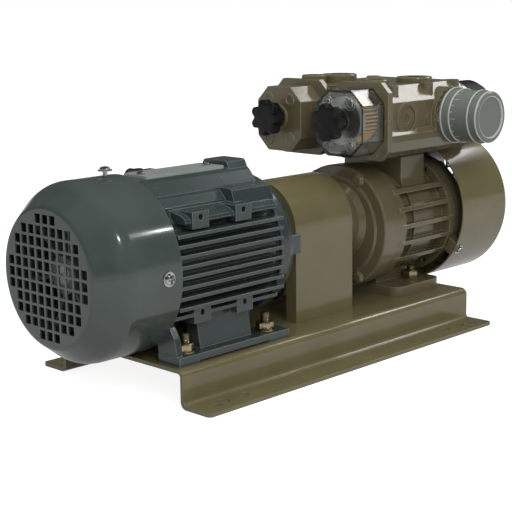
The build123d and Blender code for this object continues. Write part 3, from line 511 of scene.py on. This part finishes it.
def nut_and_stud(work, bore_r, half_width, height, washer_r, washer_t, stick):
    """Washer, nut chamfered on both faces, and the threaded end that stands above it, from zero up."""
    lathe(work, [(bore_r, 0), (washer_r, 0), (washer_r, washer_t), (bore_r, washer_t)], closed=True)
    point, cut = half_width / math.cos(math.pi / 6), height * 0.14
    low, high = washer_t, washer_t + height
    lathe(work, [(bore_r, low), (half_width * 0.97, low), (point, low + cut), (point, high - cut),
                 (half_width * 0.97, high), (bore_r * 1.12, high), (bore_r, high - 0.0005)],
          steps=48, closed=True, reach=hexagon(half_width))
    pitch = 0.00125
    crest, root = bore_r * 0.99, bore_r * 0.86
    profile, level = [(0, 0), (crest, 0), (crest, high - pitch)], high - pitch
    while level < high + stick - pitch * 1.5:
        profile += [(crest, level + pitch * 0.1), (root, level + pitch * 0.55)]
        level += pitch
    profile += [(bore_r * 0.97, level + pitch * 0.1), (bore_r * 0.80, high + stick), (0, high + stick)]
    lathe(work, profile, steps=24)


def hexagon_head(work, half_width, height, shank_r, shank):
    """Bolt head hanging below zero with its shank above."""
    point = half_width / math.cos(math.pi / 6)
    lathe(work, [(0, -height), (half_width * 0.95, -height), (point, -height * 0.86), (point, 0), (0, 0)],
          steps=48, reach=hexagon(half_width))
    lathe(work, [(0, -0.0002), (shank_r, -0.0002), (shank_r, shank), (0, shank)], steps=24)


plate_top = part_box("base_plate")[1][2]
sheet = 0.0032
bolt_r, half_width, nut_height, head_height = 0.004, 0.0065, 0.0065, 0.0055
margin = 0.0084  # from the edge of the bolts' box to a bolt's axis
for name, node, foot, stick, columns in (("motor_foot_bolts", "motor_bolts", 0.007, 0.008, 2),
                                         ("pump_foot_bolts", "pump_bolts", 0.009, 0.005, 1)):
    low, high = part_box(node)
    seat_z = plate_top + foot
    spread = (high[0] - low[0] - 2 * margin, high[1] - low[1] - 2 * margin, 0.0)
    work = bmesh.new()
    nut_and_stud(work, bolt_r, half_width, nut_height, washer_r=0.0083, washer_t=0.0016, stick=stick)
    lower = bmesh.new()
    hexagon_head(lower, half_width, head_height, bolt_r, shank=seat_z - plate_top + sheet)
    bmesh.ops.translate(lower, vec=(0, 0, plate_top - sheet - seat_z), verts=lower.verts)
    spare = bpy.data.meshes.new("spare")
    lower.to_mesh(spare)
    lower.free()
    work.from_mesh(spare)
    bpy.data.meshes.remove(spare)
    part = body_of(node + "_part", work, yellow, 28.0)
    piece = set_out(name, row_tree, part, yellow, Count=2 * columns, Columns=columns, Pitch=spread,
                    Place=(low[0] + margin, low[1] + margin, seat_z), Turn=(0.0, 0.0, 0.0))
    seat(piece, "pump_set", "yellow_zinc", node)

# ------------------------------------------------------------------ coupling and guard
# Two aluminium jaw hubs with a red polyurethane spider, under a bent sheet
# guard bolted to the base through its turned-in feet.

# pale grey with a satin shine from the lathe
aluminium = metal("turned aluminium", shade="#bcbec0", rough=0.32, grain_mm=0.3, grain_deep_mm=0.006)
finish_nodes(aluminium, "coupling_hub_motor", "coupling_hub_pump")
# deep red, slightly waxy
spider = moulded("red polyurethane", shade="#6d1512", rough=0.45, grain_mm=0.8, grain_deep_mm=0.010)
finish_nodes(spider, "coupling_spider")
finish_nodes(olive_sheet, "coupling_guard")
finish_nodes(zinc, "guard_screws")

# ------------------------------------------------------------------ pump body
# Grey iron castings, bored and ground inside and enamelled outside: a flanged
# cylinder with long fins and a foot, and a cover on each end.

# glossy olive that pools over cast corners and pales on their crests, the pale crests partly painted
# highlight
olive_cast = enamel("olive enamel on iron casting", shade="#6a6249", dark="#5f5840", edge="#b0a78f",
                    peel_mm=1.4, peel_deep_mm=0.050, rough=0.24, corner_mm=1.2)
finish_nodes(olive_cast, "pump_front_cover", "pump_cylinder", "pump_rear_cover")

# ------------------------------------------------------------------ cover bolts
# Low hexagon bolts holding both covers to the cylinder, enamelled over with
# the castings, so their corners are soft.
bolt_r, half_width, head_top, washer_r, washer_t, shank = 0.0024, 0.0045, 0.004, 0.0058, 0.0008, 0.012
for name, node, out in (("front_bolts", "front_cover_bolts", -1), ("rear_bolts", "rear_cover_bolts", 1)):
    low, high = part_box(node)
    face = low[0] + head_top if out < 0 else high[0] - head_top
    middle = (low[2] + high[2]) / 2
    radius = math.hypot((high[1] - low[1]) / 2 - half_width, (high[2] - low[2]) / 2 - half_width)
    work = bmesh.new()
    lathe(work, [(0, -shank), (bolt_r, -shank), (bolt_r, 0.0004), (0, 0.0004)], steps=16)
    lathe(work, [(bolt_r, 0), (washer_r, 0), (washer_r, washer_t), (bolt_r, washer_t)], closed=True)
    # the head's edge slopes off and its middle is dished, both softened by the enamel
    lathe(work, [(0, 0.0006), (0.0052, 0.0006), (0.0052, 0.0028), (0.0043, 0.0036), (bolt_r, 0.0039),
                 (0, 0.0036)], steps=48, reach=hexagon(half_width))
    if out < 0:
        bmesh.ops.rotate(work, matrix=Matrix.Rotation(math.pi, 3, "Y"), verts=work.verts)
    part = body_of(node + "_part", work, olive_cast, 28.0)
    piece = set_out(name, ring_tree, part, olive_cast, Count=4, Radius=radius, First=math.radians(150),
                    Step=math.radians(60), Gap=math.radians(60), Place=(face, 0.0, middle), Turn=along_x)
    seat(piece, "pump_set", "pump_body_paint", node)

# ------------------------------------------------------------------ rotor and vanes
# Slotted steel rotor on its own shaft, set off the bore's centre, with four
# hard carbon vanes that slide out against the bore and need no oil.
finish_nodes(steel, "pump_rotor")
# dark grey that shines a little where it is ground
carbon = moulded("ground carbon", shade="#232425", rough=0.38, grain_mm=0.3, grain_deep_mm=0.010)
finish_nodes(carbon, "vane_1", "vane_2", "vane_3", "vane_4")

# ------------------------------------------------------------------ fan drum
# Drawn sheet drum over the aluminium fan on the pump's tail shaft, with a
# punched end and three small screws into the rear cover's arms.
finish_nodes(olive_sheet, "pump_fan_cover")
finish_nodes(aluminium, "pump_fan")
low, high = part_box("pump_fan_cover")
drum_r = (high[1] - low[1]) / 2
low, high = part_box("pump_cover_screws")
work = bmesh.new()
cross_head(work, head_r=0.0035, head_h=0.0024, washer_r=0.0050, washer_t=0.0008, shank_r=0.0019,
           shank=0.008)
laid_over(work)
part = body_of("drum_screw", work, zinc)
piece = set_out("drum_screws", ring_tree, part, zinc, Count=3, Radius=drum_r, First=math.radians(181),
                Step=math.radians(120), Gap=0.0, Place=((low[0] + high[0]) / 2, 0.0, shaft_z), Turn=along_x)
seat(piece, "pump_set", "zinc", "pump_cover_screws")

# ------------------------------------------------------------------ manifold
# One enamelled casting carries both gas channels; threaded collars on its
# deck take hose tails, and a thin gasket seals it on the neck.
finish_nodes(olive_cast, "manifold", "side_plug", "port_collar_1", "port_collar_2", "port_collar_3",
             "port_collar_4")
# flat black line between two painted castings
rubber = moulded("pressed gasket sheet", shade="#262624", rough=0.75, grain_mm=0.5, grain_deep_mm=0.020)
finish_nodes(rubber, "neck_gasket")

# threads inside the collars, bright where the tap has gone through the enamel
cut_iron = metal("cut thread in iron", shade="#8d8a82", rough=0.42, grain_mm=0.4, grain_deep_mm=0.006)
pitch, crest, root, back, thread_length, lead_in = 0.0015, 0.0001, 0.0008, 0.0006, 0.014, 0.0008
for number in range(1, 5):
    mount = next(m for m in frame["record"]["mounts"] if m["name"] == "gas_port_%d" % number)
    x, y = mount["pos_m"][:2]
    bore = mount["dims"]["r_mm"] / 1000
    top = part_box("port_collar_%d" % number)[1][2] - lead_in
    work = bmesh.new()
    profile, level = [], top
    while level > top - thread_length:
        profile += [(bore - crest, level), (bore - root, level - pitch / 2)]
        level -= pitch
    profile += [(bore + back, level), (bore + back, top)]
    lathe(work, profile, place=(x, y, 0), steps=48, closed=True)
    seat(body_of("thread_%d" % number, work, cut_iron, 80.0), "pump_set", "pump_paint")

# ------------------------------------------------------------------ filter cases
# Two octagonal cases drop over the filters: clear acrylic on the suction
# side, an enamelled pressing on the other.
finish_nodes(olive_cast, "painted_filter_case")
# clear, with a slight ripple of flow that makes what lies behind it waver
acrylic, tree = begin("clear acrylic")
place = add(tree, "ShaderNodeTexCoord").outputs["Object"]
flow = add(tree, "ShaderNodeTexNoise", {"Vector": place, "Scale": 1 / 0.009, "Detail": 1.0})
bump = add(tree, "ShaderNodeBump", {"Height": flow.outputs[0], "Strength": 0.25, "Distance": 0.0002})
clear = add(tree, "ShaderNodeBsdfPrincipled", {
    "Base Color": linear("#e9ebe8"), "Roughness": 0.05, "IOR": 1.49, "Transmission Weight": 0.985,
    "Normal": bump.outputs[0]})
add(tree, "ShaderNodeOutputMaterial", {"Surface": clear.outputs[0]})
finish_nodes(acrylic, "clear_filter_case")

# rings round the case's four blind bosses in cloudy pale acrylic, partly a painted highlight for the bright
# glints on the bosses
frosted_and_glint, tree = begin("frosted acrylic")
place = add(tree, "ShaderNodeTexCoord").outputs["Object"]
cloud = add(tree, "ShaderNodeTexNoise", {"Vector": place, "Scale": 1 / 0.0016, "Detail": 3.0})
matt = add(tree, "ShaderNodeMapRange", {"Value": cloud.outputs[0], "To Min": 0.12, "To Max": 0.35})
bump = add(tree, "ShaderNodeBump", {"Height": cloud.outputs[0], "Strength": 0.6, "Distance": 0.0003})
clear = add(tree, "ShaderNodeBsdfPrincipled", {
    "Base Color": linear("#c4c8c5"), "Roughness": matt.outputs[0], "IOR": 1.49, "Transmission Weight": 0.80,
    "Normal": bump.outputs[0]})
add(tree, "ShaderNodeOutputMaterial", {"Surface": clear.outputs[0]})
low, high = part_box("clear_filter_case")
front = low[0] + 0.0015  # the collar round the stud hole stands this far in front of it
middle_y, middle_z = (low[1] + high[1]) / 2, (low[2] + high[2]) / 2
boss_y, boss_z, lip, proud = 0.013, 0.018, 0.0008, 0.0009
work = bmesh.new()
for a, b in ((-1, 1), (1, 1), (-1, -1), (1, -1)):
    for outer in (0.0062, 0.0036):
        lathe(work, [(outer - lip, -0.0002), (outer, -0.0002), (outer - lip * 0.3, proud),
                     (outer - lip, proud)],
              place=(front, middle_y + a * boss_y, middle_z + b * boss_z), lead="X", steps=32, closed=True)
# mirrored in the front, so that the rings stand out of it
bmesh.ops.scale(work, vec=(-1, 1, 1), space=Matrix.Translation((-front, 0, 0)), verts=work.verts)
seat(body_of("case_marks", work, frosted_and_glint), "clear_case", "clear_plastic")

# ------------------------------------------------------------------ filter elements
# Ochre resin-treated paper folded into a pleated ring between a pressed grey
# cap and a black rubber seal.

# warm ochre crests with a fibre drawn coarser than it is, over valleys darkened by painted shade
paper_fold, tree = begin("ochre filter paper")
place = add(tree, "ShaderNodeTexCoord").outputs["Object"]
fibre = add(tree, "ShaderNodeTexNoise", {"Vector": place, "Scale": 1 / 0.0004, "Detail": 4.0})
tone = add(tree, "ShaderNodeMixRGB", {
    "Fac": fibre.outputs[0], "Color1": linear("#a87c1c"), "Color2": linear("#cfa02c")})
bump = add(tree, "ShaderNodeBump", {"Height": fibre.outputs[0], "Strength": 0.5, "Distance": 0.00005})
# painted shade: the pleats turn dark brown where the next fold closes them in
crease_shade = add(tree, "ShaderNodeAmbientOcclusion", {"Distance": 0.004}, samples=8)
depth = add(tree, "ShaderNodeMapRange", {"Value": crease_shade.outputs["AO"], "From Min": 0.25, "From Max": 0.85})
tone = add(tree, "ShaderNodeMixRGB", {
    "Fac": depth.outputs[0], "Color1": linear("#2c1c08"), "Color2": tone.outputs[0]})
dry = add(tree, "ShaderNodeBsdfPrincipled", {
    "Base Color": tone.outputs[0], "Roughness": 0.85, "IOR": 1.45, "Normal": bump.outputs[0]})
add(tree, "ShaderNodeOutputMaterial", {"Surface": dry.outputs[0]})
# grey tin with a soft shine behind the clear case
cap_steel = metal("pressed tinplate", shade="#8b8c89", rough=0.38, grain_mm=0.6, grain_deep_mm=0.006)
# dead black behind the pleats
seal = moulded("black rubber seal", shade="#161616", rough=0.60, grain_mm=0.5, grain_deep_mm=0.015)
for case in ("clear", "painted"):
    low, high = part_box(case + "_case_element")
    y, z = (low[1] + high[1]) / 2, (low[2] + high[2]) / 2
    outer, cap = (high[1] - low[1]) / 2, 0.002
    # one fold of the ring: two sides from the valleys to a narrow flat crest
    count, tip, root = 36, outer - 0.001, outer - 0.0045
    half = math.pi / count
    valley_x, valley_y = root * math.cos(half), root * math.sin(half)
    line = [(valley_x, -valley_y), (tip - 0.0003, -0.0005), (tip, 0.0), (tip - 0.0003, 0.0005),
            (valley_x, valley_y), (root - 0.0004, 0.0)]
    work = bmesh.new()
    ends = [[work.verts.new((px, py, end)) for px, py in line] for end in (low[0] + cap, high[0] - cap)]
    for k in range(len(line)):
        n = (k + 1) % len(line)
        work.faces.new((ends[0][k], ends[0][n], ends[1][n], ends[1][k]))
    work.faces.new(ends[0])
    work.faces.new(ends[1])
    part = body_of(case + "_fold", work, paper_fold, 60.0)
    piece = set_out(case + "_pleats", ring_tree, part, paper_fold, Count=count, Radius=0.0, First=0.0,
                    Step=2 * half, Gap=0.0, Place=(0.0, y, z), Turn=along_x)
    seat(piece, case + "_case", "filter_paper", case + "_case_element")
    hub, inner, skirt, tin, chamfer = 0.0045, 0.015, 0.0045, 0.0006, 0.0008
    work = bmesh.new()
    lathe(work, [(hub, low[0]), (outer, low[0]), (outer, low[0] + skirt), (outer - tin, low[0] + skirt),
                 (outer - tin, low[0] + cap), (hub, low[0] + cap)],
          place=(0, y, z), lead="X", steps=64, closed=True)
    seat(body_of(case + "_end_cap", work, cap_steel), case + "_case", "filter_paper", case + "_case_element")
    work = bmesh.new()
    lathe(work, [(inner, high[0] - cap * 1.5), (outer - chamfer, high[0] - cap * 1.5), (outer, high[0] - cap),
                 (outer, high[0] - 0.0002), (inner, high[0] - 0.0002)],
          place=(0, y, z), lead="X", steps=64, closed=True)
    seat(body_of(case + "_seal", work, seal), case + "_case", "filter_paper", case + "_case_element")

# ------------------------------------------------------------------ star knobs
# Seven-lobed black phenolic hand knobs moulded on a plated stud that screws
# into the manifold and holds each case.

# matte black with only a faint light on the lobes
phenolic = moulded("black phenolic", shade="#0e0f0e", rough=0.55, grain_mm=0.7, grain_deep_mm=0.008)
for case in ("clear", "painted"):
    low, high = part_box(case + "_case_knob")
    case_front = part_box(case + "_filter_case")[0][0]
    y, z = (low[1] + high[1]) / 2, (low[2] + high[2]) / 2
    radius, thick, lobes, scallop = 0.0168, 0.011, 7, 0.0042
    work = bmesh.new()
    steps, loops = 112, []
    for scale, height in ((0.90, 0.0), (0.965, 0.0006), (1.0, 0.002), (1.0, thick - 0.002),
                          (0.965, thick - 0.0006), (0.88, thick)):
        loop = []
        for k in range(steps):
            a = 2 * math.pi * k / steps
            # the power leaves the lobes full and the scallops between them narrow
            edge = scale * (radius - scallop * (0.5 + 0.5 * math.cos(lobes * a)) ** 1.6)
            loop.append(work.verts.new((low[0] + height, y + edge * math.cos(a), z + edge * math.sin(a))))
        loops.append(loop)
    for near, far in zip(loops, loops[1:]):
        for k in range(steps):
            work.faces.new((near[k], near[(k + 1) % steps], far[(k + 1) % steps], far[k]))
    work.faces.new(loops[0])
    work.faces.new(loops[-1])
    # tapered neck behind the lobes, which stops just short of the case
    back, neck_r, gap = low[0] + thick, 0.0090, 0.0003
    lathe(work, [(0, back - 0.0005), (0.0098, back - 0.0005), (neck_r, back + 0.004),
                 (neck_r, case_front - gap), (0, case_front - gap)], place=(0, y, z), lead="X")
    seat(body_of(case + "_hand_knob", work, phenolic), case + "_knob", "black_plastic", case + "_case_knob")
    stud_r = 0.0025
    work = bmesh.new()
    lathe(work, [(0, case_front - 0.001), (stud_r, case_front - 0.001), (stud_r, high[0] - 0.001),
                 (0.0018, high[0]), (0, high[0])], place=(0, y, z), lead="X", steps=20)
    seat(body_of(case + "_stud", work, zinc), case + "_knob", "zinc", case + "_case_knob")

# ------------------------------------------------------------------ pressure regulator
# Plated hexagon foot, and a smoke-grey turning sleeve with pale rims, scale
# strokes and a bare recessed end.
finish_nodes(zinc, "regulator_base")
# smooth grey that takes a clear light on its side
smoke = moulded("smoke grey polycarbonate", shade="#727670", rough=0.20, grain_mm=1.0, grain_deep_mm=0.002)
finish_nodes(smoke, "regulator_knob")
low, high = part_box("regulator_knob")
x, z = (low[0] + high[0]) / 2, (low[2] + high[2]) / 2
foot_step, groove, shoulder, end = high[1], high[1] - 0.010, high[1] - 0.029, low[1]
# pale bands that outline the sleeve: plated rims drawn in light grey plastic, their bright reflection painted
# into that grey
painted_shine_rim = moulded("satin rim", shade="#bfc2be", rough=0.22, grain_mm=0.5, grain_deep_mm=0.002)
sunk, proud, foot_half, top_half = 0.0006, 0.0002, 0.0008, 0.0006
work = bmesh.new()
for at, radius in ((foot_step - 0.0019, 0.0260), (groove - 0.0004, 0.0251), (shoulder - 0.0014, 0.0248),
                   (end + 0.0016, 0.0236)):
    lathe(work, [(radius - sunk, -at - foot_half), (radius + proud, -at - top_half),
                 (radius + proud, -at + top_half), (radius - sunk, -at + foot_half)],
          place=(x, 0, z), lead="-Y", steps=72, closed=True)
# a fifth band round the recess in the end
lathe(work, [(0.0182, -end - 0.0015), (0.0192, -end - 0.0015), (0.0196, -end + 0.0002),
             (0.0186, -end - 0.0002)], place=(x, 0, z), lead="-Y", steps=72, closed=True)
seat(body_of("regulator_rims", work, painted_shine_rim), "regulator", "zinc")
# chalky white strokes, a little raised by the ink
white = moulded("white printing", shade="#c9cbc8", rough=0.45, grain_mm=0.4, grain_deep_mm=0.002)
ink_r, ink_t, stroke_width = 0.0241, 0.0003, 0.0005
scale_start = -(groove - 0.0005)
for name, count, length in (("fine_strokes", 24, 0.0030), ("long_strokes", 8, 0.0065)):
    work = bmesh.new()
    bmesh.ops.create_cube(
        work, size=1.0, matrix=Matrix.Translation((ink_r, 0, scale_start + length / 2))
        @ Matrix.Diagonal((ink_t, stroke_width, length, 1)))
    part = body_of(name + "_part", work, white)
    piece = set_out(name, ring_tree, part, white, Count=count, Radius=0.0, First=0.05,
                    Step=2 * math.pi / count, Gap=0.0, Place=(x, 0.0, z), Turn=(math.radians(90), 0.0, 0.0))
    seat(piece, "regulator", "grey_plastic")

# ------------------------------------------------------------------ relief valve
# Turned aluminium collar on the manifold's tail end under a domed black cap.
finish_nodes(aluminium, "relief_base")
finish_nodes(phenolic, "relief_cap")
